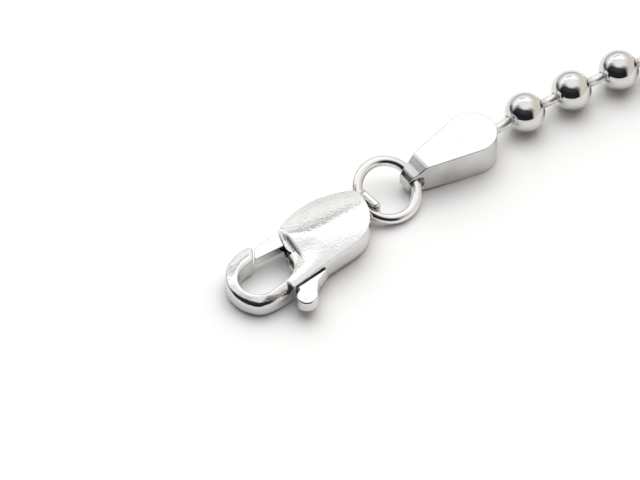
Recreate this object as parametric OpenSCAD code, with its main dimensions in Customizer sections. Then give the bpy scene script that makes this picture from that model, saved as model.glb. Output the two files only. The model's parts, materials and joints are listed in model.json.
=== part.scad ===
// Ball chain necklace with a trigger clasp, laid out as an open oval on a flat surface.
// Millimetres. Z is up and the surface is z = 0; the origin is the middle of the oval on the surface.

/* [Necklace] */
// Length of the necklace from the hook to the far end of the catch ring
necklace_length = 457; // [380:1:610]
// Clear surface left between the hook and the catch ring
end_gap = 24; // [10:0.5:40]
// Length of the laid oval over its width
loop_ratio = 1.26; // [1.1:0.01:1.5]
// Turn of the clasp about its ring, against the line of the oval
clasp_swing = -2.5; // [-8:0.5:8]
// Shift of the ring along the clasp's eye, towards the gate
ring_shift = 0.35; // [0:0.05:0.5]

/* [Ball chain] */
// Outer diameter of a bead
bead_d = 3; // [2.6:0.05:3.6]
// Thickness of a bead's shell
bead_wall = 0.2; // [0.12:0.01:0.3]
// Clear length of wire between two beads
bead_gap = 1; // [0.6:0.05:1.8]
// Diameter of the wire that links the beads
link_d = 0.7; // [0.5:0.05:0.9]
// Thickness of the head that keeps a link in its bead
head_t = 0.35; // [0.2:0.05:0.5]
// Reach of a head past the edge of its hole
head_lip = 0.12; // [0.08:0.01:0.2]

/* [Jump rings] */
// Outer diameter of a jump ring
ring_d = 5.3; // [4.6:0.1:6.5]
// Diameter of a jump ring's wire
ring_wire = 0.8; // [0.6:0.05:0.95]
// Lean of a ring, with its inner side on the surface
ring_lean = 25; // [12:1:26]

/* [End tags] */
// Length of an end tag
tag_length = 8; // [7:0.1:10]
// Width of a tag over its round end
tag_w = 3.8; // [3:0.1:5]
// Width of a tag at its looped end
tag_neck_w = 1.1; // [0.9:0.1:2.4]
// Thickness of a tag
tag_t = 2.6; // [2.4:0.05:3]
// Thickness of the metal round the eye of a tag
tag_strip = 0.25; // [0.2:0.01:0.4]
// Rise of a tag's underside at its looped end
tag_rise = 0.3; // [0:0.05:0.4]
// Rounding of the fold at the looped end
tag_fold_r = 0.5; // [0.3:0.05:0.6]
// Length over which the top slopes down to the fold
tag_slope = 1.5; // [1:0.1:2]
// Drop of the top at the fold
tag_drop = 0.6; // [0.4:0.05:0.7]
// Clear length of wire from a tag to the bead beside it
tag_gap = 1.45; // [0.8:0.05:2]
// Height of the link's socket in a tag
socket_z = 1.3; // [1.1:0.05:1.4]
// Depth of metal in front of the socket
socket_wall = 0.6; // [0.3:0.05:1]
// Depth of the socket
socket_depth = 1.2; // [0.8:0.05:2]

/* [Clasp] */
// Length of the clasp from the hook to the eye
clasp_length = 13.55; // [12.5:0.05:16]
// Diameter of the round hook, and the body's width over the gate's side
clasp_w = 5.6; // [5.2:0.1:7]
// Distance that the straight side stands in from the round hook
side_in = 0.3; // [0.1:0.05:0.4]
// Height of the upright band round the body
band_h = 1.7; // [1.5:0.05:1.9]
// Rise of the body's domed faces over the band
body_crown = 0.4; // [0.3:0.05:0.5]
// Radius of the dome along the clasp
body_sweep_r = 40; // [25:1:80]
// Height of the hook's top over the middle plane
hook_top = 0.65; // [0.6:0.05:0.8]
// Depth of the hook's underside below the middle plane
hook_under = 1.15; // [1:0.05:1.2]
// Height of the round bevel along the hook's upper outer edge
hook_bevel_h = 0.5; // [0.4:0.05:0.6]
// Width of that bevel
hook_bevel_w = 0.7; // [0.6:0.05:1]
// Size of the flat bevel along the hook's lower outer edge
hook_foot = 0.2; // [0.1:0.05:0.3]
// Thickness of the hook at its outer end
hook_bar = 0.8; // [0.6:0.05:1.2]
// Width of the arm that carries the hook
arm_w = 1.25; // [1:0.05:1.6]
// Width of the hook's tip
tip_w = 1.35; // [1:0.05:1.6]
// Length of the opening in the hook
hole_length = 4.4; // [4:0.1:5]
// Lean of the body's front edge beside the gate
front_lean = 1.1; // [0.6:0.05:1.4]
// Length of the arm's ridge on the body
ridge_length = 0.2; // [0:0.1:1.5]
// Distance of the body's bowed side from the middle line, at the wall behind the eye
bow_end = 1.1; // [0.9:0.1:2]
// Distance of the body's widest place behind its front
bow_back = 3.55; // [3:0.05:4.5]
// Radius of the body's back corner, on the lever's side
back_r = 3.4; // [3:0.05:4]
// Thickness of the wall behind the eye
eye_wall = 0.35; // [0.25:0.05:0.6]
// Width of the wall behind the eye
eye_w = 2; // [1.6:0.1:2.4]
// Height of the wall behind the eye
eye_h = 1.4; // [1.3:0.05:1.6]
// Thickness of the body's side walls beside the trigger
side_wall = 0.35; // [0.3:0.05:0.5]

/* [Trigger] */
// Thickness of the trigger
trigger_t = 0.75; // [0.6:0.05:0.8]
// Distance of the pivot behind the front of the body
pivot_back = 1.9; // [1.7:0.05:2.4]
// Distance of the pivot from the middle line of the clasp
pivot_side = 1.3; // [1.1:0.05:1.35]
// Diameter of the pivot pin
pin_d = 0.8; // [0.5:0.05:0.9]
// Depth of the pin's seat in each face of the body
pin_seat = 0.25; // [0.15:0.05:0.3]
// Outer diameter of the trigger's hub
hub_d = 1.5; // [1.3:0.05:1.5]
// Reach of the gate from the pivot to its end
gate_reach = 4.8; // [4.5:0.05:5]
// Width of the gate at its end
gate_w = 0.9; // [0.7:0.05:1.2]
// Width of the gate where it leaves the body
gate_root_w = 1.4; // [1.1:0.05:1.6]
// Radius of the round end of the thumb lever
pad_r = 0.75; // [0.5:0.05:0.9]
// Clear width between the body and that round end
pad_out = 0.4; // [0.2:0.05:0.6]
// Thickness of the thumb lever outside the body
pad_t = 1; // [0.8:0.05:1.1]
// Turn of the trigger from closed to open
open_angle = 14; // [12:1:16]

/* [Clearances] */
// Gap between a ring and what it runs through
ring_gap = 0.1; // [0.1:0.01:0.15]
// Gap between a link's wire and its hole
link_gap = 0.1; // [0.1:0.01:0.15]
// Gap between the trigger and the body
trigger_gap = 0.1; // [0.05:0.01:0.12]
// Gap between the pin and the trigger's bore
pin_run = 0.05; // [0.03:0.01:0.08]
// Gap between the pin and its seats in the body
pin_fit = 0.02; // [0.01:0.01:0.04]

/* [Hidden] */
$fn = 64;
dome_fn = 360;
silver = "#cfcfd2";
far = 4 * clasp_length;

// Sizes that follow from the driving dimensions
ring_r = (ring_d - ring_wire) / 2;
ring_z = ring_wire / 2 + ring_r * sin(ring_lean);
bead_r = bead_d / 2;
bead_pitch = bead_d + bead_gap;
hole_r = link_d / 2 + link_gap;
head_r = hole_r + head_lip;
tag_start = ring_r - ring_wire / 2 - ring_gap - tag_strip;
ring_to_bead = tag_start + tag_length + tag_gap + bead_r;

// The clasp lies along X from the hook at x = 0 to the eye, about its own middle plane
hook_r = clasp_w / 2;
clasp_z = band_h / 2 + body_crown;
hook_hole_r = (clasp_w - arm_w - tip_w) / 2;
hook_hole_y = (arm_w - tip_w) / 2;
side_y = side_in - hook_r;
body_front = hook_bar + hole_length;
pivot = [body_front + pivot_back, -pivot_side];
cavity_h = trigger_t + 2 * trigger_gap;
pad = [hook_bar + 2 * hook_hole_r, side_y - pad_out - pad_r];
slot_start = pad.x;
slot_end = pivot.x - hub_d / 2 + 2 * trigger_gap;
eye_x = clasp_length - eye_wall - ring_gap - ring_wire / 2;
clasp_reach = eye_x + ring_r;

// The oval: its perimeter holds the necklace and the gap between its ends
loop_round = PI * (3 * (loop_ratio + 1) - sqrt((3 * loop_ratio + 1) * (loop_ratio + 3)));
loop_b = (necklace_length + end_gap) / loop_round;
loop_a = loop_ratio * loop_b;
loop_back = (clasp_w - bead_d) / 4;
chain_run = necklace_length - clasp_reach - 2 * ring_to_bead - ring_d / 2;
bead_count = floor(chain_run / bead_pitch) + 1;

function on_loop(t) = [loop_a * sin(t), loop_b * cos(t) - loop_back];
function loop_speed(t) = norm([loop_a * cos(t), loop_b * sin(t)]) * PI / 180;
// Angle of the point at a straight distance d past the point at angle from, found in a few steps
function reach(from, t, d, steps) =
    steps == 0 ? t
    : reach(from, t + (d - norm(on_loop(t) - on_loop(from))) / loop_speed(t), d, steps - 1);
function ahead(from, d) = reach(from, from + d / loop_speed(from), d, 4);
function heading(v) = atan2(v.y, v.x);
function lifted(p, z) = [p.x, p.y, z];

ring_p = on_loop(0);
hook_p = on_loop(-ahead(0, clasp_reach));
clasp_turn = heading(ring_p - hook_p) + clasp_swing;
bead_angles = [
    for (i = 0, t = ahead(0, ring_to_bead); i < bead_count; i = i + 1, t = ahead(t, bead_pitch)) t
];
beads = [for (t = bead_angles) lifted(on_loop(t), bead_r)];
catch_angle = ahead(bead_angles[bead_count - 1], ring_to_bead);
catch_p = on_loop(catch_angle);
catch_turn = heading(on_loop(catch_angle + 1) - on_loop(catch_angle - 1));
tag_turn = heading(on_loop(bead_angles[0]) - ring_p);
far_tag_turn = heading(on_loop(bead_angles[bead_count - 1]) - catch_p);

// Where the socket of each tag holds the first and the last link
function socket(p, turn) =
    let (x = tag_start + tag_length - socket_wall)
    [p.x + x * cos(turn), p.y + x * sin(turn), socket_z];
first_socket = socket(ring_p, tag_turn);
last_socket = socket(catch_p, far_tag_turn);
stations = concat([first_socket], beads, [last_socket]);

// Turns Z onto the line from p to q, and starts at p
module along(p, q) {
    v = q - p;
    translate(p)
        rotate([0, acos(v.z / norm(v)), atan2(v.y, v.x)])
            children();
}

module at_ring(p, turn) {
    translate(lifted(p, ring_z)) rotate([0, 0, turn]) rotate([ring_lean, 0, 0]) children();
}

module at_tag(p, turn) {
    translate(p) rotate(turn) translate([tag_start, 0]) children();
}

module at_clasp() {
    translate(lifted(ring_p, clasp_z)) rotate(clasp_turn) translate([-clasp_reach, -ring_shift])
        children();
}

module ring_shape(wire) {
    rotate_extrude() translate([ring_r, 0]) circle(d = wire);
}

// Ball chain

// Hollow ball with a hole at each end of the axis that points along the chain
module bead(i) {
    axis = stations[i + 1] - stations[i - 1];
    along(stations[i], stations[i] + axis)
        rotate_extrude()
            difference() {
                circle(bead_r);
                circle(bead_r - bead_wall);
                translate([hole_r - bead_d, -bead_d]) square([bead_d, 2 * bead_d]);
            }
}

// Distance from a bead's centre to the outer face of the head inside it
head_seat = sqrt(pow(bead_r - bead_wall - link_gap, 2) - pow(head_r, 2));

module link(i) {
    start = i == 0 ? -link_gap : head_seat;
    p = stations[i];
    q = stations[i + 1];
    stop = norm(q - p) - (i == bead_count ? -link_gap : head_seat);
    along(p, q) {
        translate([0, 0, start - head_t]) cylinder(r = head_r, h = head_t);
        translate([0, 0, start - head_t / 2]) cylinder(d = link_d, h = stop - start + head_t);
        translate([0, 0, stop]) cylinder(r = head_r, h = head_t);
    }
}

module chain_beads() {
    color(silver) for (i = [1:bead_count]) bead(i);
}

module chain_links() {
    color(silver) for (i = [0:bead_count]) link(i);
}

// End tags

// Teardrop: a round end and straight flanks that meet the looped end
module tag_outline() {
    r = tag_w / 2;
    mid = tag_length - r;
    flank = asin((r - tag_neck_w / 2) / mid);
    touch = [mid - r * sin(flank), r * cos(flank)];
    translate([mid, 0]) circle(r);
    polygon([[0, -tag_neck_w / 2], [touch.x, -touch.y], [mid, 0], touch, [0, tag_neck_w / 2]]);
}

// Side view: flat on top, with a top and an underside that slope to the fold
module tag_side() {
    low = tag_rise + tag_fold_r;
    high = tag_t - tag_drop - tag_fold_r;
    polygon([
        [0, low], [tag_fold_r, tag_rise], [tag_length - tag_w, 0], [tag_length, 0],
        [tag_length, tag_t], [tag_slope, tag_t], [tag_fold_r, tag_t - tag_drop], [0, high]
    ]);
    for (y = [low, high]) translate([tag_fold_r, y]) circle(tag_fold_r);
}

module tag_eye() {
    r = tag_fold_r - tag_strip / 2;
    eye_l = ring_wire + 2 * ring_gap;
    low = tag_rise + tag_strip + r;
    high = tag_t - tag_drop - tag_strip - r;
    translate([tag_strip + r, low]) circle(r);
    translate([tag_strip + r, high]) circle(r);
    translate([tag_strip, low]) square([eye_l, high - low]);
    translate([tag_strip + r, low - r]) square([eye_l - r, high - low + 2 * r]);
}

// What the tag's socket takes away: the wire's hole and the room for the head
module socket_room(p, q) {
    along(p, q) {
        translate([0, 0, -socket_depth]) cylinder(r = head_r + link_gap, h = socket_depth);
        translate([0, 0, -socket_depth / 2])
            cylinder(r = hole_r, h = socket_depth / 2 + socket_wall + tag_gap / 2);
    }
}

module tag(p, turn, ring_turn, at, next) {
    difference() {
        at_tag(p, turn) intersection() {
            linear_extrude(tag_t) tag_outline();
            translate([0, tag_w, 0]) rotate([90, 0, 0]) linear_extrude(2 * tag_w) tag_side();
        }
        at_tag(p, turn)
            translate([0, tag_w, 0]) rotate([90, 0, 0]) linear_extrude(2 * tag_w) tag_eye();
        socket_room(at, next);
        at_ring(p, ring_turn) ring_shape(ring_wire + 2 * ring_gap);
    }
}

module clasp_tag() {
    color(silver) tag(ring_p, tag_turn, 0, first_socket, beads[0]);
}

module far_tag() {
    color(silver) tag(catch_p, far_tag_turn, catch_turn, last_socket, beads[bead_count - 1]);
}

// Jump rings

module clasp_ring() {
    color(silver) at_ring(ring_p, 0) ring_shape(ring_wire);
}

module catch_ring() {
    color(silver) at_ring(catch_p, catch_turn) ring_shape(ring_wire);
}

// Clasp

module hook_outline() {
    difference() {
        union() {
            intersection() {
                translate([hook_r, 0]) circle(hook_r);
                translate([0, side_y]) square(clasp_w);
            }
            translate([hook_r, side_y])
                square([body_front + ridge_length - hook_r, arm_w - side_in]);
        }
        hook_opening();
    }
}

// The hook's opening, and the way into it that the gate closes
module hook_opening() {
    for (x = [hook_bar + hook_hole_r, body_front - hook_hole_r])
        translate([x, hook_hole_y]) circle(hook_hole_r);
    translate([hook_bar + hook_hole_r, hook_hole_y - hook_hole_r])
        square([hole_length - 2 * hook_hole_r, 2 * hook_hole_r]);
    intersection() {
        translate(pivot) circle(gate_reach + trigger_gap);
        polygon([
            [hook_bar + hook_hole_r, hook_hole_y], [body_front, hook_hole_y],
            [body_front + front_lean, hook_r], [body_front + front_lean, far],
            [hook_bar + hook_hole_r, far]
        ]);
    }
}

// Straight on the lever's side, bowed on the gate's side, with a round back corner
module body_outline() {
    start = body_front - arm_w;
    corner = [clasp_length - eye_wall - ring_wire / 2 - back_r, back_r + side_y];
    bow_x = body_front + bow_back;
    bow_l = clasp_length - eye_wall - bow_x;
    bow_r = (bow_l * bow_l + pow(hook_r - bow_end, 2)) / (2 * (hook_r - bow_end));
    difference() {
        intersection() {
            translate([bow_x, hook_r - bow_r]) circle(bow_r);
            union() {
                translate([start, side_y]) square([corner.x - start, clasp_w]);
                translate(corner) circle(back_r);
                translate([start, corner.y])
                    square([clasp_length - eye_wall / 2 - start, clasp_w]);
            }
        }
        hook_opening();
    }
}

// A ring whose outer face, over the clasp, is one domed face of the body
module dome() {
    across_r = (hook_r * hook_r + body_crown * body_crown) / (2 * body_crown);
    translate([body_front + bow_back, 0, clasp_z - body_sweep_r])
        rotate([90, 0, 0])
            rotate_extrude($fn = dome_fn)
                translate([body_sweep_r - across_r, 0]) circle(across_r, $fn = dome_fn);
}

module hook_solid() {
    intersection() {
        translate([0, 0, -clasp_z]) linear_extrude(2 * clasp_z) hook_outline();
        translate([hook_r, 0, 0]) {
            rotate(45) rotate_extrude(angle = 225) hook_section(hook_r);
            rotate([90, 0, 90])
                linear_extrude(body_front + ridge_length - hook_r) mirror([1, 0]) hook_section(-side_y);
        }
    }
}

// Section of the hook from its middle out to its outer edge at r: a round bevel above, a flat one below
module hook_section(r) {
    flat_r = r - hook_bevel_w;
    round_r = (hook_bevel_w * hook_bevel_w + hook_bevel_h * hook_bevel_h) / (2 * hook_bevel_h);
    intersection() {
        union() {
            translate([0, hook_top - round_r]) square([flat_r, round_r]);
            translate([flat_r, hook_top - round_r]) circle(round_r);
            translate([0, -hook_under]) square([r, hook_under + hook_top - hook_bevel_h]);
        }
        polygon([
            [0, -hook_under], [r - hook_foot, -hook_under], [r, hook_foot - hook_under],
            [r, hook_top], [0, hook_top]
        ]);
    }
}

// Room for the trigger, with the slot that its lever comes out of
module cavity_outline() {
    inner = body_front - arm_w / 2;
    back = pivot.x + hub_d / 2 + trigger_gap;
    low = side_y + side_wall;
    polygon([
        [inner, low], [inner, far], [pivot.x + trigger_gap, far],
        [pivot.x + trigger_gap, hook_r - side_wall], [back, pivot.y], [back, low],
        [slot_end, low], [slot_end, -far], [slot_start, -far], [slot_start, low]
    ]);
}

module clasp_body() {
    color(silver) difference() {
        at_clasp() clasp_metal();
        at_ring(ring_p, 0) ring_shape(ring_wire + 2 * ring_gap);
    }
}

module clasp_metal() {
    eye_l = ring_wire + 2 * ring_gap;
    difference() {
        union() {
            hook_solid();
            intersection() {
                translate([0, 0, -clasp_z]) linear_extrude(2 * clasp_z) body_outline();
                dome();
                mirror([0, 0, 1]) dome();
            }
            translate([clasp_length - 2 * eye_wall, ring_shift - eye_w / 2, -eye_h / 2])
                cube([2 * eye_wall, eye_w, eye_h]);
        }
        translate([0, 0, -cavity_h / 2]) linear_extrude(cavity_h) cavity_outline();
        translate([eye_x - eye_l / 2, -clasp_w, -eye_l / 2]) cube([eye_l, 2 * clasp_w, eye_l]);
        translate(lifted(pivot, -cavity_h / 2 - pin_seat - pin_fit))
            cylinder(d = pin_d + 2 * pin_fit, h = cavity_h + 2 * (pin_seat + pin_fit));
    }
}

// Trigger: a hub on the pin, an arm and gate that close the hook, and a thumb lever

module gate_outline() {
    top = hook_r - side_wall - trigger_gap;
    near = top - gate_w;
    end = pivot.x - sqrt(pow(gate_reach, 2) - pow(near - pivot.y, 2));
    intersection() {
        translate(pivot) circle(gate_reach);
        polygon([
            [end, near], [end, top], [pivot.x, top],
            [pivot.x + hub_d / 2, pivot.y], [pivot.x - hub_d / 2, pivot.y],
            [body_front, top - gate_root_w]
        ]);
    }
}

// The place of a point of the open trigger when the trigger is closed
function closed(p) =
    let (v = p - pivot)
    pivot + [
        v.x * cos(open_angle) + v.y * sin(open_angle), v.y * cos(open_angle) - v.x * sin(open_angle)
    ];

// The lever's back edge is what the end of the slot leaves free when the trigger is open
module lever_outline() {
    stop = slot_end - trigger_gap;
    waist = closed([stop, side_y]);
    polygon([
        pivot, pivot + [-hub_d / 2, 0], pad + [0, pad_r], pad + pad_r * [cos(50), -sin(50)],
        [(pad.x + waist.x) / 2 + pad_r / 2, (pad.y + waist.y) / 2 - pad_r / 4],
        waist, closed([stop, side_y + side_wall])
    ]);
    translate(pad) circle(pad_r);
}

module trigger_outline() {
    translate(pivot) circle(d = hub_d);
    gate_outline();
    lever_outline();
}

module trigger() {
    color(silver) at_clasp() difference() {
        union() {
            translate([0, 0, -trigger_t / 2]) linear_extrude(trigger_t) trigger_outline();
            translate([0, 0, -pad_t / 2])
                linear_extrude(pad_t)
                    intersection() {
                        lever_outline();
                        translate([0, side_y - trigger_gap - clasp_w]) square(clasp_w);
                    }
        }
        translate(lifted(pivot, -clasp_z)) cylinder(d = pin_d + 2 * pin_run, h = 2 * clasp_z);
    }
}

module pivot_pin() {
    color(silver) at_clasp()
        translate(lifted(pivot, -cavity_h / 2 - pin_seat))
            cylinder(d = pin_d, h = cavity_h + 2 * pin_seat);
}

clasp_body();
trigger();
pivot_pin();
clasp_ring();
clasp_tag();
chain_beads();
chain_links();
far_tag();
catch_ring();
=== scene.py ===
import json
import math
from itertools import product

import bmesh
import bpy
import numpy as np
from mathutils import Matrix, Vector


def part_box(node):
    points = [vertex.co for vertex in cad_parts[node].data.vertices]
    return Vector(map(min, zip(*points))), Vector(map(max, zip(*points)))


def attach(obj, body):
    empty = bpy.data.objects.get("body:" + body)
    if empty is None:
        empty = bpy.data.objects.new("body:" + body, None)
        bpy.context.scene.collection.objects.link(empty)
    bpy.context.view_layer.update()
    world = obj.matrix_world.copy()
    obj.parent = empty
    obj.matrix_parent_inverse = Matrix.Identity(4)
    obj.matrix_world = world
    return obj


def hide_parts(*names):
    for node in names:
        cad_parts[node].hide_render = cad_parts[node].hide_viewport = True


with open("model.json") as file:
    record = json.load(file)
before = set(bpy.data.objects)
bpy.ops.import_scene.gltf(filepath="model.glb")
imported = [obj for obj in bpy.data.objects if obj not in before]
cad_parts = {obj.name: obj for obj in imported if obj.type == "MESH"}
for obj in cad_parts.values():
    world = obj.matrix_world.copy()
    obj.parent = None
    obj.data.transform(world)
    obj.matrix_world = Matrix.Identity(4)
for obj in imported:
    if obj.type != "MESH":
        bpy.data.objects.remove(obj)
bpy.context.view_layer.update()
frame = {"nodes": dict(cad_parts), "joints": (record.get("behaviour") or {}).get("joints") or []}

# Lengths in this script are millimetres until a mesh is made, unless a comment says otherwise
MM = 0.001
GAP = 0.1
EDGE_R = 0.1
FINE_R = 0.05

# Clasp, along x from the hook's outer end, with y towards the gate and z from the middle plane
CLASP_LENGTH = 13.55
CLASP_W = 5.6
HOOK_R = CLASP_W / 2
SIDE_INSET = 0.3
SIDE_Y = SIDE_INSET - HOOK_R
BAND_H = 1.7
BODY_CROWN = 0.4
CLASP_Z = BAND_H / 2 + BODY_CROWN

# Hook: its bar and opening, then its crown. A pair of values is where a change starts and ends
HOOK_BAR = 0.8
ARM_W = 1.25
TIP_W = 1.35
OPENING_L = 4.4
HOLE_R = (CLASP_W - ARM_W - TIP_W) / 2
HOLE_Y = (ARM_W - TIP_W) / 2
HOLE_EDGE_R = 0.09
TIP_CORNER_R = 0.6
OUTER_CORNER_R = 0.8
HOOK_TOP = 0.65
HOOK_UNDER = 1.15
HOOK_FOOT = 0.2
HOOK_ROOT = 0.6
FRONT_DROP = 0.22
FRONT_DROP_X = (1.5, 5)
FAR_SIDE_Y = (-1.2, 1.2)
CROWN_SLOPE = 0.58
CROWN_SLOPE_LESS = 0.34
CROWN_W = 0.95
CROWN_BEND = 0.2
CROWN_STRETCH = 1.1
LIP_DROP = 0.08
LIP_W = 0.3
ROLL_R = 0.3
ROLL_R_LESS = 0.12

# Body: its outline and edges
BODY_FRONT = HOOK_BAR + OPENING_L
FRONT_LEAN = 1.1
BOW_SETBACK = 3.55
BOW_X = BODY_FRONT + BOW_SETBACK
BOW_END = 1.1
BACK_R = 3.4
CORNER_FILLET = 0.3
BEVEL_TILT = math.radians(20)
BEVEL_START = 0.1
BEVEL_R = 0.15
RIM_R = 0.03
HOOK_FILLET = 0.12

# Body: the dome's crest, flanks and nose, and the drop from it to the hook
SWEEP_R = 40
CREST_Y = 0.1
CREST_SOFT = 0.7
FAR_SLOPE = 0.13
FAR_CURVE = 0.02
NEAR_SLOPE = 0.05
NEAR_CURVE = 0.035
NOSE_X = 7.8
NOSE_SLOPE = 0.13
NOSE_SOFT = 0.3
NOSE_SIDE_Y = (-2.4, -0.2)
NOSE_BLEND = 0.04
STEP_X = 5.8
STEP_MID_Y = -0.3
STEP_LEAN = 0.2
STEP_DROP = 0.3
STEP_SOFT = 0.24
STEP_START_Y = (-1.5, -0.3)
STEP_STOP_Y = (1.2, 2.3)
ARM_END = 2.85
ARM_DROP = 0.5
ARM_RISE_L = 0.85

# Trigger and the room for it
SIDE_WALL = 0.35
PIVOT_SETBACK = 1.9
PIVOT = (BODY_FRONT + PIVOT_SETBACK, -1.3)
PIN_HOLE_R = 0.45
HUB_R = 0.75
GATE_REACH = 4.8
GATE_W = 0.9
GATE_ROOT_X = 0.75
GATE_ROOT_W = 1.3
GATE_R = 0.2
PAD_R = 0.75
PAD_STAND = 0.4
PAD = (HOOK_BAR + 2 * HOLE_R, SIDE_Y - PAD_STAND - PAD_R)
PAD_FILLET = 0.2
PAD_EDGE_R = 0.12
PLATE_R = 0.07
TRIGGER_T = 0.75
PAD_T = 1.0
OPEN_ANGLE = math.radians(14)
CAVITY_H = TRIGGER_T + 2 * GAP
CAVITY_R = 0.04
SLOT_END = PIVOT[0] - HUB_R + 2 * GAP
SLOT_START = PAD[0]
OUTSIDE = 9
TRIGGER_LOW = (2.9, -4.5, -0.5)
TRIGGER_HIGH = (8, 2.4, 0.5)

# Jump rings and the clasp's eye
RING_D = 5.3
RING_WIRE = 0.8
RING_R = (RING_D - RING_WIRE) / 2
RING_SHIFT = 0.35
RING_TURNS = 256
RING_SIDES = 40
EYE_WALL = 0.35
EYE_W = 2
EYE_H = 1.4
EYE_R = 0.32
EYE_END_R = 0.2
EYE_FILLET = 0.08
EYE_L = RING_WIRE + 2 * GAP
CHANNEL_R = 0.15
EYE_X = CLASP_LENGTH - EYE_WALL - GAP - RING_WIRE / 2
CLASP_REACH = EYE_X + RING_R

# End tags
TAG_STRIP = 0.25
TAG_START = RING_R - RING_WIRE / 2 - GAP - TAG_STRIP
TAG_LENGTH = 8
TAG_W = 3.8
TAG_NECK_W = 1.1
TAG_T = 2.6
TAG_RISE = 0.3
TAG_FOLD_R = 0.5
TAG_DROP = 0.6
TAG_FOLD_TOP = TAG_T - TAG_DROP
TAG_SLOPE_X = 1.5
TAG_SLOPE_RISE = 0.8
TAG_STRIP_RISE = 0.3
TAG_FACET_RISE = 1.15
TAG_TOP_R = 0.12
TAG_FACET_R = 0.04
TAG_EDGE_R = 0.07
TAG_EYE_R = TAG_FOLD_R - 0.15
TAG_EYE_EDGE_R = 0.04
SOCKET_Z = 1.3
SOCKET_WALL = 0.6
SOCKET_DEPTH = 1.8

# Ball chain
BEAD_R = 1.5
BEAD_WALL = 0.2
BEAD_SIDES = 28
BEAD_OUTER_POINTS = 25
BEAD_INNER_POINTS = 7
LIP_GAP = 0.04
LIP_ROUND = 0.06
LINK_R = 0.35
LINK_SIDES = 20
BEAD_HOLE_R = LINK_R + GAP
HEAD_R = BEAD_HOLE_R + 0.12
HEAD_L = 0.35
HEAD_BEVEL = 0.05

# Mesh cells
CAST_CELL = 0.055
TRIGGER_CELL = 0.05


# Frame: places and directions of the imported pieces

def middle(node):
    low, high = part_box(node)
    return np.array((low + high) / 2) / MM


def ring_axis(node):
    """The direction through a ring: the way in which its points spread least."""
    points = np.array([v.co for v in frame["nodes"][node].data.vertices]) / MM
    axis = np.linalg.svd(points - points.mean(0), full_matrices=False)[2][2]
    return axis * np.sign(axis[2])


def island(start, seen):
    """All the points that edges join to start, which are added to seen."""
    points, front = [], [start]
    seen.add(start)
    while front:
        vert = front.pop()
        points.append(vert.co / MM)
        for edge in vert.link_edges:
            other = edge.other_vert(vert)
            if other not in seen:
                seen.add(other)
                front.append(other)
    return np.array(points)


def bead_centres():
    """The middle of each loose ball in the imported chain, in order from the clasp."""
    mesh = bmesh.new()
    mesh.from_mesh(frame["nodes"]["chain_beads"].data)
    bmesh.ops.remove_doubles(mesh, verts=mesh.verts, dist=1e-6)
    seen = set()
    centres = []
    for start in mesh.verts:
        if start not in seen:
            points = island(start, seen)
            centres.append((points.min(0) + points.max(0)) / 2)
    mesh.free()
    centres.sort(key=lambda c: math.atan2(c[0], c[1]) % (2 * math.pi))
    return centres


def turn_of(vector):
    return math.atan2(vector[1], vector[0])


def placed(turn, origin, local):
    """Turns a piece's own x axis to turn, with its point local at origin."""
    spin = Matrix.Rotation(turn, 4, "Z")
    return Matrix.Translation(Vector(origin)) @ spin @ Matrix.Translation(-Vector(local))


# Signed distances, below zero inside

def disc(x, y, centre, radius):
    return np.hypot(x - centre[0], y - centre[1]) - radius


def outline(x, y, points):
    """Distance from a closed polygon."""
    best = np.full(np.shape(x), 1e9)
    inside = np.zeros(np.shape(x), bool)
    for (ax, ay), (bx, by) in zip(points, points[1:] + points[:1]):
        ex, ey = bx - ax, by - ay
        share = np.clip(((x - ax) * ex + (y - ay) * ey) / (ex * ex + ey * ey), 0, 1)
        best = np.minimum(best, np.hypot(x - ax - share * ex, y - ay - share * ey))
        if ay != by:
            inside ^= ((ay > y) != (by > y)) & (x < ax + (y - ay) * ex / ey)
    return np.where(inside, -best, best)


def under_line(x, z, through, rise):
    """Below zero under the line through a point that climbs by rise for each millimetre."""
    return (z - through[1] - (x - through[0]) * rise) / math.hypot(1, rise)


def both(a, b, r=0.0):
    """Where a and b overlap, with an edge rounded by r."""
    corner = np.hypot(np.maximum(a + r, 0), np.maximum(b + r, 0))
    return np.minimum(-r, np.maximum(a, b)) + corner


def either(a, b, r=0.0):
    """a and b joined, with a fillet of radius r."""
    return -both(-a, -b, r)


def cut(a, b, r=0.0):
    """a without b, with an edge rounded by r."""
    return both(a, -b, r)


def ramp(x, low, high):
    """From 0 to 1, smoothly, as x goes from low to high."""
    t = np.clip((x - low) / (high - low), 0, 1)
    return t * t * (3 - 2 * t)


def softened(t, r):
    """t where it is above zero and 0 below, with a bend of size r between them."""
    return (t + np.hypot(t, r)) / 2


# Skin: the surface where a distance is zero, as a mesh

def quads_of(inside):
    """A cell list and a quad for each grid edge that crosses the surface."""
    n = [s - 1 for s in inside.shape]
    total = np.zeros(n, np.int8)
    for i, j, k in product((0, 1), repeat=3):
        total += inside[i:i + n[0], j:j + n[1], k:k + n[2]]
    active = (total > 0) & (total < 8)
    index = np.full(active.shape, -1)
    index[active] = np.arange(active.sum())
    quads = []
    for axis in range(3):
        solid = np.moveaxis(inside, axis, 0)
        cells = np.moveaxis(index, axis, 0)
        start, stop = solid[:-1, 1:-1, 1:-1], solid[1:, 1:-1, 1:-1]
        for leaving in (True, False):
            i, j, k = np.nonzero((start != stop) & (start == leaving))
            quad = [cells[i, j, k], cells[i, j + 1, k], cells[i, j + 1, k + 1], cells[i, j, k + 1]]
            if leaving == (axis == 1):
                quad.reverse()
            quads.append(np.stack(quad, 1))
    return np.argwhere(active), np.concatenate(quads)


def slope(field, points, step=0.004):
    """The field's gradient, by small differences."""
    return np.stack([
        (field(*(points + step * e).T) - field(*(points - step * e).T)) / (2 * step)
        for e in np.eye(3)
    ], 1)


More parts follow.
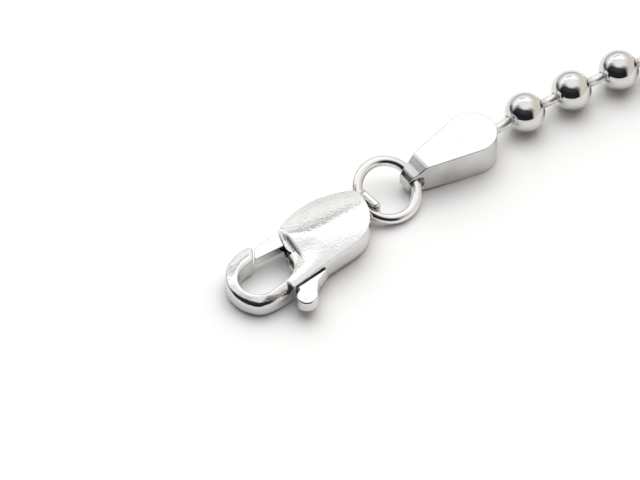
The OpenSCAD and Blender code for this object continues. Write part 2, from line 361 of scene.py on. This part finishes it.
def skin(field, low, high, cell, rounds=6, stride=0.6, least_steep=0.1, tiny=1e-9):
    """Points, quads and normals of the surface where field(x, y, z) is zero."""
    axes = [np.arange(a - 2 * cell, b + 2 * cell, cell) for a, b in zip(low, high)]
    grid = np.meshgrid(*axes, indexing="ij")
    cells, quads = quads_of(field(*grid) < 0)
    points = np.array([a[0] for a in axes]) + cell * (cells + 0.5)
    for _ in range(rounds):
        g = slope(field, points)
        value = field(*points.T)
        move = (value / np.maximum((g ** 2).sum(1), least_steep))[:, None] * g
        reach = np.linalg.norm(move, axis=1, keepdims=True)
        points = points - move * np.minimum(1, stride * cell / np.maximum(reach, tiny))
    normals = slope(field, points)
    normals /= np.maximum(np.linalg.norm(normals, axis=1, keepdims=True), tiny)
    return points, quads, normals


# Meshes

def make_mesh(name, points, faces, matrix, normals=None):
    """A smooth mesh object from millimetre points in a piece's own axes."""
    mesh = bpy.data.meshes.new(name)
    mesh.from_pydata((np.asarray(points) * MM).tolist(), [], [list(map(int, f)) for f in faces])
    mesh.shade_smooth()
    if normals is not None:
        mesh.normals_split_custom_set_from_vertices(normals.tolist())
    to_metres = Matrix.Translation(matrix.translation * MM) @ matrix.to_3x3().to_4x4()
    mesh.transform(to_metres)
    piece = bpy.data.objects.new(name, mesh)
    bpy.context.scene.collection.objects.link(piece)
    return piece


def circle(sides):
    """The angles of a circle's points."""
    return np.linspace(0, 2 * math.pi, sides, endpoint=False)


def grid_faces(rows, columns, closed_rows=False):
    """Quads between rings of points, each ring closed on itself."""
    faces = []
    for i in range(rows if closed_rows else rows - 1):
        for j in range(columns):
            k = (j + 1) % columns
            m = (i + 1) % rows
            faces.append((i * columns + j, i * columns + k, m * columns + k, m * columns + j))
    return faces


def revolved(profile, start, stop, sides):
    """Points of a profile of (along, radius), turned about the line from start to stop."""
    start, stop = Vector(start), Vector(stop)
    turn = (stop - start).to_track_quat("Z", "X").to_matrix()
    return [
        start + turn @ Vector((r * math.cos(a), r * math.sin(a), z))
        for z, r in profile
        for a in circle(sides)
    ]


def strings(name, rows, sides):
    """One mesh of many turned shapes, each a (profile, start, stop, closed) row."""
    points, faces = [], []
    for profile, start, stop, closed_profile in rows:
        base = len(points)
        points += revolved(profile, start, stop, sides)
        rings = grid_faces(len(profile), sides, closed_rows=closed_profile)
        faces += [tuple(base + v for v in face) for face in rings]
        if not closed_profile:
            faces.append(tuple(base + v for v in range(sides))[::-1])
            last = base + (len(profile) - 1) * sides
            faces.append(tuple(last + v for v in range(sides)))
    return make_mesh(name, points, faces, Matrix.Identity(4))


# Clasp body

def opening(x, y):
    """The hook's opening, and the way into it that the gate closes."""
    hole_x = HOOK_BAR + HOLE_R
    run = BODY_FRONT - HOOK_BAR - 2 * HOLE_R
    hole = np.hypot(x - hole_x - np.clip(x - hole_x, 0, run), y - HOLE_Y) - HOLE_R
    lean = math.hypot(FRONT_LEAN, HOOK_R - HOLE_Y)
    front = ((x - BODY_FRONT) * (HOOK_R - HOLE_Y) - (y - HOLE_Y) * FRONT_LEAN) / lean
    way = both(disc(x, y, PIVOT, GATE_REACH + GAP), np.maximum(hole_x - x, HOLE_Y - y))
    return either(hole, both(way, front))


def hook_depth(x, y):
    """Distance in from the hook's outer edge, which is round at the front and then straight."""
    dx = x - HOOK_R
    round_edge = np.hypot(np.where(y < 0, np.minimum(dx, 0), dx), y) - HOOK_R
    return -both(round_edge, SIDE_Y - y, OUTER_CORNER_R)


def crown_height(x, depth, hole, far):
    """The hook's upper face: it falls to the outer edge, and a little at the opening's lip."""
    top = HOOK_TOP - FRONT_DROP * (1 - ramp(x, *FRONT_DROP_X))
    outwards = np.hypot(np.clip(CROWN_W - depth, 0, 1), CROWN_BEND) - CROWN_BEND
    fall = (CROWN_SLOPE - CROWN_SLOPE_LESS * far) * outwards
    return top - fall - LIP_DROP * (1 - ramp(hole, 0, LIP_W))


def hook_field(x, y, z):
    """A gently sloped crown that rolls over into an upright wall, with a small bevel below."""
    depth = hook_depth(x, y)
    hole = opening(x, y)
    far = ramp(y, *FAR_SIDE_Y)
    crown = (z - crown_height(x, depth, hole, far)) / CROWN_STRETCH
    foot = (HOOK_FOOT - depth - z - HOOK_UNDER) / math.sqrt(2)
    under = both(-z - HOOK_UNDER, foot, EDGE_R)
    edge = both(-depth, x - BODY_FRONT - HOOK_ROOT, EDGE_R)
    rolled = both(edge, crown, ROLL_R - ROLL_R_LESS * far)
    bar = cut(both(rolled, under, FINE_R), hole, HOLE_EDGE_R)
    return np.maximum(bar, cut(-depth, hole, TIP_CORNER_R))


def body_edge(x, y):
    """The body from above: bowed at the gate's side, straight at the lever's, round at the back."""
    corner_x = CLASP_LENGTH - EYE_WALL - RING_WIRE / 2 - BACK_R
    corner_y = BACK_R + SIDE_Y
    corner = np.hypot(np.maximum(x - corner_x, 0), np.minimum(y - corner_y, 0)) - BACK_R
    block = both(x - CLASP_LENGTH + EYE_WALL / 2, corner_y - y, EDGE_R)
    bow_l = CLASP_LENGTH - EYE_WALL - BOW_X
    bow_r = (bow_l ** 2 + (HOOK_R - BOW_END) ** 2) / (2 * (HOOK_R - BOW_END))
    bow = disc(x, y, (BOW_X, HOOK_R - bow_r), bow_r)
    side = np.maximum(either(corner, block, CORNER_FILLET), ARM_END - x)
    return both(bow, side, EDGE_R)


def dome(x, y, z):
    """The domed face: a long crest between two flanks, with a nose that slopes to the hook."""
    far = softened(y - CREST_Y, CREST_SOFT)
    near = softened(CREST_Y - y, CREST_SOFT)
    nose = NOSE_SLOPE * softened(NOSE_X - x, NOSE_SOFT) * ramp(y, *NOSE_SIDE_Y)
    beyond = FAR_SLOPE * far + FAR_CURVE * far ** 2
    before = NEAR_SLOPE * near + NEAR_CURVE * near ** 2
    fall = nose + softened(beyond - nose, NOSE_BLEND) + before
    return z - CLASP_Z + fall + (x - BOW_X) ** 2 / (2 * SWEEP_R)


def front_drop(x, y):
    """How far a step across the body's front, and the arm, lie below the dome."""
    step = x - STEP_X - STEP_LEAN * (y - STEP_MID_Y)
    share = ramp(y, *STEP_START_Y) * (1 - ramp(y, *STEP_STOP_Y))
    lowered = STEP_DROP * (1 - ramp(step, -STEP_SOFT, STEP_SOFT)) * share
    return lowered + ARM_DROP * (1 - ramp(x, ARM_END, ARM_END + ARM_RISE_L))


def eye_field(x, y, z):
    """The lug at the body's back end that holds the clasp's ring."""
    lug = both(np.abs(x - CLASP_LENGTH + EYE_WALL) - EYE_WALL, np.abs(z) - EYE_H / 2, EYE_R)
    return both(lug, np.abs(y - RING_SHIFT) - EYE_W / 2, EYE_END_R)


def cavity(x, y):
    """Room for the trigger, open to the hook's side and at the lever's slot."""
    front = BODY_FRONT - ARM_W / 2
    back = PIVOT[0] + HUB_R + GAP
    low = SIDE_WALL + SIDE_Y
    return outline(x, y, [
        (front, low), (front, OUTSIDE),
        (PIVOT[0] + GAP, OUTSIDE), (PIVOT[0] + GAP, HOOK_R - SIDE_WALL),
        (back, PIVOT[1]), (back, low), (SLOT_END, low), (SLOT_END, -OUTSIDE),
        (SLOT_START, -OUTSIDE), (SLOT_START, low),
    ])


def body_field(x, y, z):
    """The body with its hook and eye, hollow for the trigger and cut through for the ring."""
    faces = dome(x, y, np.abs(z) + front_drop(x, y))
    side = cut(body_edge(x, y), opening(x, y), FINE_R)
    above = np.abs(z) - BAND_H / 2 + BEVEL_START
    bevel = side * math.cos(BEVEL_TILT) + above * math.sin(BEVEL_TILT)
    shell = both(both(side, bevel, BEVEL_R), faces, RIM_R)
    metal = either(shell, hook_field(x, y, z), HOOK_FILLET)
    metal = either(metal, eye_field(x, y, z), EYE_FILLET)
    room = both(cavity(x, y), np.abs(z) - CAVITY_H / 2)
    metal = cut(metal, room, CAVITY_R)
    channel = both(np.abs(x - EYE_X) - EYE_L / 2, np.abs(z) - EYE_L / 2, CHANNEL_R)
    return cut(metal, channel, FINE_R)


def build_clasp_body(place):
    low, high = (0, -HOOK_R, -CLASP_Z), (CLASP_LENGTH, HOOK_R, CLASP_Z)
    points, quads, normals = skin(body_field, low, high, CAST_CELL)
    return make_mesh("clasp_body_cast", points, quads, place, normals)


# Trigger

def closed(x, y):
    """Where a point of the open trigger is when the trigger is closed."""
    dx, dy = x - PIVOT[0], y - PIVOT[1]
    c, s = math.cos(OPEN_ANGLE), math.sin(OPEN_ANGLE)
    return PIVOT[0] + dx * c + dy * s, PIVOT[1] + dy * c - dx * s


def lever_points():
    """The lever: from the hub through the slot, flared outside it, and out to its round pad."""
    stop = SLOT_END - GAP
    waist = closed(stop, SIDE_Y)
    tip = math.radians(50)
    return [
        PIVOT, (PIVOT[0] - HUB_R, PIVOT[1]),
        (BODY_FRONT - ARM_W / 2 + GAP, SIDE_WALL + SIDE_Y), (SLOT_START + GAP, SIDE_Y + GAP),
        (PAD[0], PAD[1] + PAD_R),
        (PAD[0] + PAD_R * math.cos(tip), PAD[1] - PAD_R * math.sin(tip)),
        ((PAD[0] + waist[0]) / 2 + PAD_R / 2, (PAD[1] + waist[1]) / 2 - PAD_R / 4),
        (SLOT_END - GAP, SIDE_Y - 3 * GAP), (SLOT_END, SIDE_Y - GAP),
        (waist[0] - GAP / 2, SIDE_Y - GAP), waist,
        closed(stop, SIDE_WALL + SIDE_Y),
        closed(stop, PIVOT[1] - HUB_R), closed(PIVOT[0], PIVOT[1] - HUB_R),
    ]


def gate_points():
    """The gate: from the hub to the end that closes the hook."""
    top = HOOK_R - SIDE_WALL - GAP
    near = top - GATE_W
    end = PIVOT[0] - math.sqrt(GATE_REACH ** 2 - (near - PIVOT[1]) ** 2)
    return [
        (end, near), (end, top), (PIVOT[0], top), (PIVOT[0] + HUB_R, PIVOT[1]),
        (PIVOT[0] - HUB_R, PIVOT[1]), (BODY_FRONT + GATE_ROOT_X, top - GATE_ROOT_W),
    ]


def trigger_field(x, y, z):
    """The flat gate, hub and lever, thicker in the lever's part outside the body."""
    lever = either(outline(x, y, lever_points()), disc(x, y, PAD, PAD_R), PAD_FILLET)
    gate = both(outline(x, y, gate_points()), disc(x, y, PIVOT, GATE_REACH), GATE_R)
    flat = either(either(gate, disc(x, y, PIVOT, HUB_R)), lever)
    plate = both(flat, np.abs(z) - TRIGGER_T / 2, PLATE_R)
    pad = both(both(lever, y - SIDE_Y + GAP), np.abs(z) - PAD_T / 2, PAD_EDGE_R)
    return cut(either(plate, pad, EDGE_R), disc(x, y, PIVOT, PIN_HOLE_R))


def build_trigger(place):
    points, quads, normals = skin(trigger_field, TRIGGER_LOW, TRIGGER_HIGH, TRIGGER_CELL)
    return make_mesh("trigger_lever", points, quads, place, normals)


# Jump rings

def build_ring(name, centre, axis):
    """A closed ring of round wire about an axis."""
    around = Vector(axis).to_track_quat("Z", "X").to_matrix()
    points = []
    for a in circle(RING_TURNS):
        for b in circle(RING_SIDES):
            r = RING_R + RING_WIRE / 2 * math.cos(b)
            rise = RING_WIRE / 2 * math.sin(b)
            points.append(around @ Vector((r * math.cos(a), r * math.sin(a), rise)))
    faces = [f[::-1] for f in grid_faces(RING_TURNS, RING_SIDES, closed_rows=True)]
    return make_mesh(name, points, faces, Matrix.Translation(Vector(centre)))


# End tags, along x from the folded end

def tag_edge(x, y):
    """The tag from above: a teardrop with a blunt neck."""
    r = TAG_W / 2
    mid = TAG_LENGTH - r
    neck = TAG_NECK_W / 2
    flank = math.asin((r - neck) / mid)
    touch = (mid - r * math.sin(flank), r * math.cos(flank))
    wedge = outline(x, y, [(0, -neck), (touch[0], -touch[1]), (mid, 0), touch, (0, neck)])
    return either(wedge, disc(x, y, (mid, 0), r))


def tag_side(x, z):
    """Flat on top, then a slope, a gentler strip and a steep facet at the fold."""
    run = TAG_LENGTH - TAG_W
    bottom = TAG_RISE * np.clip((run - x) / (run - TAG_FOLD_R), 0, 1)
    sloped = under_line(x, z, (TAG_SLOPE_X, TAG_T), TAG_SLOPE_RISE)
    strip = under_line(x, z, (TAG_FOLD_R, TAG_FOLD_TOP), TAG_STRIP_RISE)
    facet = under_line(x, z, (0, TAG_FOLD_TOP - TAG_FOLD_R), TAG_FACET_RISE)
    top = both(z - TAG_T, either(sloped, strip, EDGE_R), TAG_TOP_R)
    folded = both(both(top, bottom - z), -x, TAG_FOLD_R)
    return both(folded, facet, TAG_FACET_R)


def tag_eye(x, z):
    """The hole across the fold for the ring's wire."""
    middle_z = (TAG_FOLD_TOP + TAG_RISE) / 2
    half = (TAG_FOLD_TOP - TAG_RISE) / 2 - TAG_STRIP
    length = np.abs(x - TAG_STRIP - EYE_L / 2) - EYE_L / 2
    return both(length, np.abs(z - middle_z) - half, TAG_EYE_R)


def tag_field(x, y, z):
    """A solid tag with its eye, and a socket for the last wire."""
    solid = both(tag_edge(x, y), tag_side(x, z), TAG_EDGE_R)
    solid = cut(solid, tag_eye(x, z), TAG_EYE_EDGE_R)
    socket = both(np.hypot(y, z - SOCKET_Z) - BEAD_HOLE_R, TAG_LENGTH - SOCKET_DEPTH - x)
    return cut(solid, socket, FINE_R)


def build_tag(name, place):
    half = TAG_W / 2
    low, high = (0, -half, 0), (TAG_LENGTH, half, TAG_T)
    points, quads, normals = skin(tag_field, low, high, CAST_CELL)
    return make_mesh(name, points, quads, place, normals)


# Ball chain

def arc(radius, first, count):
    """Points of (along, radius) on a ball, from the angle first to the same at its other end."""
    return [
        (radius * math.cos(a), radius * math.sin(a))
        for a in np.linspace(first, math.pi - first, count)
    ]


def bead_profile():
    """A thin shell, as a closed line of (along, radius), with lips at its two holes."""
    lip_r = LINK_R + LIP_GAP
    first = math.asin((lip_r + LIP_ROUND) / BEAD_R)
    edge = BEAD_R * math.cos(first) - LIP_ROUND
    inner_r = BEAD_R - BEAD_WALL
    outer = [(-along_axis, r) for along_axis, r in arc(BEAD_R, first, BEAD_OUTER_POINTS)]
    inner = arc(inner_r, math.asin(lip_r / inner_r), BEAD_INNER_POINTS)
    return outer + [(edge, lip_r)] + inner + [(-edge, lip_r)]


def build_beads(stations):
    profile = bead_profile()
    rows = []
    for before, centre, after in zip(stations, stations[1:], stations[2:]):
        axis = (after - before) / np.linalg.norm(after - before)
        rows.append((profile, centre, centre + axis, True))
    return strings("chain_ball_beads", rows, BEAD_SIDES)


def link_profile(start, stop):
    """A wire of (along, radius) points, with a bevelled head at each end."""
    head_from, head_to = HEAD_L - HEAD_BEVEL, HEAD_BEVEL
    return [
        (start - HEAD_L, LINK_R), (start - head_from, HEAD_R), (start - head_to, HEAD_R), (start, LINK_R),
        (stop, LINK_R), (stop + head_to, HEAD_R), (stop + head_from, HEAD_R), (stop + HEAD_L, LINK_R),
    ]


def build_links(stations):
    """Round wires with a head inside each bead."""
    seat = math.sqrt((BEAD_R - BEAD_WALL - GAP) ** 2 - HEAD_R ** 2)
    rows = []
    for i, (p, q) in enumerate(zip(stations, stations[1:])):
        start = seat if i else 0
        stop = np.linalg.norm(q - p) - (seat if i < len(stations) - 2 else 0)
        rows.append((link_profile(start, stop), p, q, False))
    return strings("chain_wire_links", rows, LINK_SIDES)


# Materials. Scales are counts over a metre, and grain depths are metres

PLAIN_TONE = (0.76, 0.75, 0.735)
WIRE_TONE = (0.87, 0.86, 0.845)
TAG_TONE = (0.78, 0.77, 0.75)
LINK_TONE = (0.9, 0.89, 0.875)
FLOOR_TONE = (0.88, 0.878, 0.868)
FLOOR_ROUGH = 0.5
GLOSS_SPREAD = 2.2
CLOUD_DETAIL = 4
CLOUD_ENDS = (0.3, 0.7)
GRAIN_DETAIL = 3


def node_tree(name):
    """A new material, its emptied nodes and its links."""
    material = bpy.data.materials.new(name)
    material.use_nodes = True
    nodes = material.node_tree.nodes
    nodes.clear()
    return material, nodes, material.node_tree.links


def noise(nodes, links, place, scale, detail):
    """A noise pattern fixed to the piece, as a socket."""
    node = nodes.new("ShaderNodeTexNoise")
    node.inputs["Scale"].default_value = scale
    node.inputs["Detail"].default_value = detail
    links.new(place, node.inputs["Vector"])
    return node.outputs["Fac"]


def cloudy_tone(nodes, links, cloud, tone, dark):
    """The tone where the cloud is thick, down to a dark share of it elsewhere."""
    node = nodes.new("ShaderNodeValToRGB")
    ends = node.color_ramp.elements
    for end, position, share in zip(ends, CLOUD_ENDS, (dark, 1)):
        end.position = position
        end.color = (*(share * c for c in tone), 1)
    links.new(cloud, node.inputs["Fac"])
    return node.outputs["Color"]


def polished_silver(name, tone, rough, grain_scale, grain_depth, cloud_scale=900, cloud_dark=0.94):
    """Polished silver with a fine grain, cloudy wear and uneven gloss."""
    material, nodes, links = node_tree(name)
    out = nodes.new("ShaderNodeOutputMaterial")
    metal = nodes.new("ShaderNodeBsdfPrincipled")
    links.new(metal.outputs["BSDF"], out.inputs["Surface"])
    metal.inputs["Metallic"].default_value = 1
    place = nodes.new("ShaderNodeTexCoord").outputs["Object"]

    cloud = noise(nodes, links, place, cloud_scale, CLOUD_DETAIL)
    links.new(cloudy_tone(nodes, links, cloud, tone, cloud_dark), metal.inputs["Base Color"])
    gloss = nodes.new("ShaderNodeMapRange")
    gloss.inputs["To Min"].default_value = rough
    gloss.inputs["To Max"].default_value = rough * GLOSS_SPREAD
    links.new(cloud, gloss.inputs["Value"])
    links.new(gloss.outputs["Result"], metal.inputs["Roughness"])

    bump = nodes.new("ShaderNodeBump")
    bump.inputs["Strength"].default_value = 1
    bump.inputs["Distance"].default_value = grain_depth
    links.new(noise(nodes, links, place, grain_scale, GRAIN_DETAIL), bump.inputs["Height"])
    links.new(bump.outputs["Normal"], metal.inputs["Normal"])
    return material


def floor_white():
    material, nodes, links = node_tree("floor_white")
    out = nodes.new("ShaderNodeOutputMaterial")
    paint = nodes.new("ShaderNodeBsdfPrincipled")
    paint.inputs["Base Color"].default_value = (*FLOOR_TONE, 1)
    paint.inputs["Roughness"].default_value = FLOOR_ROUGH
    links.new(paint.outputs["BSDF"], out.inputs["Surface"])
    return material


# Camera and floor. The floor's size and the clip distances are metres

CAMERA_AZIMUTH = math.radians(-39.29)
CAMERA_ELEVATION = math.radians(50)
PIXELS_PER_MM = 13.8
IMAGE_W, IMAGE_H = 640, 480
ANCHOR_PIXEL = (256, 276)
ANCHOR_LOCAL = (2.3, 0.27)
ANCHOR_Z = 1.55
LENS = 1000
SENSOR = 36
CLIP_START = 0.01
CLIP_END = 100
FLOOR_SIZE = 20


def horizontal(turn):
    """A level direction, in degrees anticlockwise from the camera's right, seen from above."""
    a = CAMERA_AZIMUTH + math.radians(turn)
    return Vector((math.cos(a), math.sin(a), 0))


def build_floor():
    bpy.ops.mesh.primitive_plane_add(size=FLOOR_SIZE)
    floor = bpy.context.object
    floor.name = "floor"
    floor.data.materials.append(floor_white())


def build_camera(clasp_place):
    """A long lens that shows a point of the hook at its pixel, with the photograph's scale."""
    a, e = CAMERA_AZIMUTH, CAMERA_ELEVATION
    right = Vector((math.cos(a), math.sin(a), 0))
    back = Vector((math.sin(a) * math.cos(e), -math.cos(a) * math.cos(e), math.sin(e)))
    up = back.cross(right)
    anchor = clasp_place @ Vector((*ANCHOR_LOCAL, 0))
    anchor.z = ANCHOR_Z
    over = (IMAGE_W / 2 - ANCHOR_PIXEL[0]) / PIXELS_PER_MM
    down = (IMAGE_H / 2 - ANCHOR_PIXEL[1]) / PIXELS_PER_MM
    aim = anchor + right * over - up * down
    distance = LENS * IMAGE_W / PIXELS_PER_MM / SENSOR
    data = bpy.data.cameras.new("photo_camera")
    data.lens = LENS
    data.sensor_width = SENSOR
    data.clip_start = CLIP_START
    data.clip_end = CLIP_END
    camera = bpy.data.objects.new("photo_camera", data)
    bpy.context.scene.collection.objects.link(camera)
    camera.location = (aim + back * distance) * MM
    camera.rotation_euler = back.to_track_quat("Z", "Y").to_euler()
    bpy.context.scene.camera = camera


# Light: a tent round the necklace and a lamp. Brightness is a colour, and turns and heights are
# degrees. A pair of values is where a change starts and ends

ROOF = (1.7, 1.7, 1.72)
ROOF_HEIGHT = (42, 48)
FRONT_ROOF = (1.05, 1.06, 1.1)
FRONT_ROOF_DEPTH = (0.38, 0.54)
HIGH_WALL = (1.28, 1.28, 1.27)
HIGH_WALL_HEIGHT = (26, 33)
BACK_WALL = (0.9, 0.9, 0.89)
BACK_WALL_HEIGHT = (3, 22)
LOW_WALL = (0.5, 0.5, 0.49)
RIGHT_WALL = (0.82, 0.76, 0.69)
RIGHT_WALL_SIDE = (0.1, 0.8)
RIGHT_WALL_HEIGHT = (40, 75)
LEFT_WALL = (0.13, 0.14, 0.13)
LEFT_WALL_SIDE = (-0.93, -0.8)
LEFT_WALL_HEIGHT = (14, 28)
SEAM = (0.28, 0.29, 0.32)
SEAM_SHARE = 0.9
SEAM_BOTTOM = (38, 40)
SEAM_TOP = (43, 47)
SEAM_LEFT = (-0.45, -0.3)
SEAM_RIGHT = (-0.02, 0.1)
GAP_TURN = 15
GAP_HALF_WIDTH = 66
GAP_HEIGHT = 68
GAP_POWER = 3
GAP_EDGE = (0.72, 1.12)
GAP_FACING = (-0.02, 0.05)
GAP_LOW = (0.018, 0.02, 0.03)
GAP_TOP = (0.065, 0.05, 0.048)
GAP_TOP_HEIGHT = (25, 55)
DIFFUSE_SHARE = 0.76
LAMP_TURN = 80
LAMP_HEIGHT = 58
LAMP_ANGLE = 75
LAMP_POWER = 2.25


def put(tree, value, socket):
    """Joins a socket to an input, or sets the input to a number or a colour."""
    if isinstance(value, bpy.types.NodeSocket):
        tree.links.new(value, socket)
    else:
        socket.default_value = value


def calc(tree, operation, *values):
    """A Math node on sockets and numbers."""
    node = tree.nodes.new("ShaderNodeMath")
    node.operation = operation
    for socket, value in zip(node.inputs, values):
        put(tree, value, socket)
    return node.outputs["Value"]


def along(tree, vector, axis):
    """The part of a vector socket that lies along a fixed axis."""
    node = tree.nodes.new("ShaderNodeVectorMath")
    node.operation = "DOT_PRODUCT"
    tree.links.new(vector, node.inputs[0])
    node.inputs[1].default_value = axis
    return node.outputs["Value"]


def soft_step(tree, value, low, high, start=0.0, stop=1.0):
    """From start to stop, smoothly, as value goes from low to high."""
    node = tree.nodes.new("ShaderNodeMapRange")
    node.interpolation_type = "SMOOTHSTEP"
    tree.links.new(value, node.inputs["Value"])
    for name, number in (
        ("From Min", low), ("From Max", high), ("To Min", start), ("To Max", stop)
    ):
        node.inputs[name].default_value = number
    return node.outputs["Result"]


def sine(degrees):
    return math.sin(math.radians(degrees))


def climb(tree, up, heights, start=0.0, stop=1.0):
    """A soft step between two heights above the horizon."""
    return soft_step(tree, up, sine(heights[0]), sine(heights[1]), start, stop)


def blend_colors(tree, share, first, second):
    """first where share is 0 and second where it is 1; each is a colour or a socket."""
    node = tree.nodes.new("ShaderNodeMix")
    node.data_type = "RGBA"
    tree.links.new(share, node.inputs[0])
    for socket, value in ((node.inputs[6], first), (node.inputs[7], second)):
        is_color = isinstance(value, tuple)
        put(tree, (*value, 1) if is_color else value, socket)
    return node.outputs[2]


def seam_share(tree, up, side):
    """How much of the grey seam lies in a direction: a short band below the roof's edge."""
    seam = calc(
        tree, "MULTIPLY",
        climb(tree, up, SEAM_BOTTOM, 0, SEAM_SHARE), climb(tree, up, SEAM_TOP, 1, 0))
    seam = calc(tree, "MULTIPLY", seam, soft_step(tree, side, *SEAM_LEFT))
    return calc(tree, "MULTIPLY", seam, soft_step(tree, side, *SEAM_RIGHT, 1, 0))


def tent_light(tree, place, up):
    """The tent: brighter with height, with a grey seam, a warm right side and a dark low left."""
    side = along(tree, place, horizontal(0))
    depth = along(tree, place, horizontal(90))
    roof = blend_colors(tree, soft_step(tree, depth, *FRONT_ROOF_DEPTH), FRONT_ROOF, ROOF)
    wall = blend_colors(tree, climb(tree, up, HIGH_WALL_HEIGHT), BACK_WALL, HIGH_WALL)
    wall = blend_colors(tree, climb(tree, up, BACK_WALL_HEIGHT), LOW_WALL, wall)
    light = blend_colors(tree, climb(tree, up, ROOF_HEIGHT), wall, roof)
    light = blend_colors(tree, seam_share(tree, up, side), light, SEAM)
    right = calc(
        tree, "MULTIPLY",
        soft_step(tree, side, *RIGHT_WALL_SIDE), climb(tree, up, RIGHT_WALL_HEIGHT, 1, 0))
    light = blend_colors(tree, right, light, RIGHT_WALL)
    left = calc(
        tree, "MULTIPLY",
        soft_step(tree, side, *LEFT_WALL_SIDE, 1, 0), climb(tree, up, LEFT_WALL_HEIGHT, 1, 0))
    return blend_colors(tree, left, light, LEFT_WALL)


def with_gap(tree, place, up, light):
    """The light with a dark oval gap in the tent's front."""
    across = along(tree, place, horizontal(-GAP_TURN))
    u = calc(tree, "ABSOLUTE", calc(tree, "DIVIDE", across, sine(GAP_HALF_WIDTH)))
    v = calc(tree, "ABSOLUTE", calc(tree, "DIVIDE", up, sine(GAP_HEIGHT)))
    oval = calc(tree, "ADD", calc(tree, "POWER", u, GAP_POWER), calc(tree, "POWER", v, GAP_POWER))
    forwards = along(tree, place, horizontal(-90 - GAP_TURN))
    facing = soft_step(tree, forwards, *GAP_FACING)
    gap = calc(tree, "MULTIPLY", soft_step(tree, oval, *GAP_EDGE, 1, 0), facing)
    dark = blend_colors(tree, climb(tree, up, GAP_TOP_HEIGHT), GAP_LOW, GAP_TOP)
    return blend_colors(tree, gap, light, dark)


def build_world():
    """The tent, a little weaker where it lights dull surfaces such as the floor."""
    world = bpy.data.worlds.new("tent")
    bpy.context.scene.world = world
    world.use_nodes = True
    tree = world.node_tree
    tree.nodes.clear()
    place = tree.nodes.new("ShaderNodeTexCoord").outputs["Generated"]
    up = along(tree, place, (0, 0, 1))
    light = with_gap(tree, place, up, tent_light(tree, place, up))
    sky = tree.nodes.new("ShaderNodeBackground")
    tree.links.new(light, sky.inputs["Color"])
    diffuse = tree.nodes.new("ShaderNodeLightPath").outputs["Diffuse Depth"]
    tree.links.new(soft_step(tree, diffuse, 0, 1, 1, DIFFUSE_SHARE), sky.inputs["Strength"])
    out = tree.nodes.new("ShaderNodeOutputWorld")
    tree.links.new(sky.outputs["Background"], out.inputs["Surface"])


def build_lamp():
    """A broad soft lamp, high up behind the necklace."""
    data = bpy.data.lights.new("soft_lamp", "SUN")
    data.energy = LAMP_POWER
    data.angle = math.radians(LAMP_ANGLE)
    lamp = bpy.data.objects.new("soft_lamp", data)
    bpy.context.scene.collection.objects.link(lamp)
    height = math.radians(LAMP_HEIGHT)
    towards = horizontal(LAMP_TURN) * math.cos(height) + Vector((0, 0, math.sin(height)))
    lamp.rotation_euler = towards.to_track_quat("Z", "Y").to_euler()
    lamp.visible_glossy = False


# Necklace

def finish_piece(piece, body, node, material):
    piece.data.materials.append(material)
    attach(piece, body)
    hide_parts(node)


def clasp_matrix(ring):
    """Places the clasp with its pin at the joint and its eye towards the ring."""
    pivot = np.array(frame["joints"][0]["pos_m"]) / MM
    local = np.array((CLASP_REACH, RING_SHIFT)) - PIVOT
    turn = turn_of((ring - pivot)[:2]) - turn_of(local)
    return placed(turn, pivot, (*PIVOT, 0))


def build_clasp(place, wire):
    cast = polished_silver("cast_silver", PLAIN_TONE, rough=0.07, grain_scale=5000, grain_depth=0.000014)
    finish_piece(build_clasp_body(place), "necklace", "clasp_body", cast)
    finish_piece(build_trigger(place), "trigger", "trigger", cast)
    pin = frame["nodes"]["pivot_pin"]
    pin.data.materials.clear()
    pin.data.materials.append(wire)


def build_tags(ring, catch, beads):
    """Both end tags, each in line with its ring and bead; gives where their sockets end."""
    stamped = polished_silver(
        "tag_silver", TAG_TONE, rough=0.06, grain_scale=5000, grain_depth=0.000002,
        cloud_scale=420, cloud_dark=0.72)
    sockets = []
    for name, node, centre, bead in (
        ("tag_clasp", "clasp_tag", ring, beads[0]), ("tag_far", "far_tag", catch, beads[-1])
    ):
        turn = turn_of((bead - centre)[:2])
        place = placed(turn, (centre[0], centre[1], 0), (-TAG_START, 0, 0))
        finish_piece(build_tag(name, place), "necklace", node, stamped)
        sockets.append(np.array(place @ Vector((TAG_LENGTH - SOCKET_WALL, 0, SOCKET_Z))))
    return sockets


def build_chain(stations):
    turned = polished_silver("bead_silver", PLAIN_TONE, rough=0.04, grain_scale=4000, grain_depth=0.000001)
    drawn = polished_silver("link_silver", LINK_TONE, rough=0.24, grain_scale=6000, grain_depth=0.000003)
    finish_piece(build_beads(stations), "necklace", "chain_beads", turned)
    finish_piece(build_links(stations), "necklace", "chain_links", drawn)


def build_necklace():
    """All the pieces; gives the clasp's place for the camera."""
    ring = middle("clasp_ring")
    catch = middle("catch_ring")
    beads = bead_centres()
    place = clasp_matrix(ring)
    wire = polished_silver("wire_silver", WIRE_TONE, rough=0.05, grain_scale=6000, grain_depth=0.000002)
    build_clasp(place, wire)
    for name, node, centre in (("ring_clasp", "clasp_ring", ring), ("ring_catch", "catch_ring", catch)):
        finish_piece(build_ring(name, centre, ring_axis(node)), "necklace", node, wire)
    sockets = build_tags(ring, catch, beads)
    build_chain([sockets[0], *beads, sockets[1]])
    return place


build_floor()
build_world()
build_lamp()
build_camera(build_necklace())
bpy.context.scene.view_settings.view_transform = "Standard"
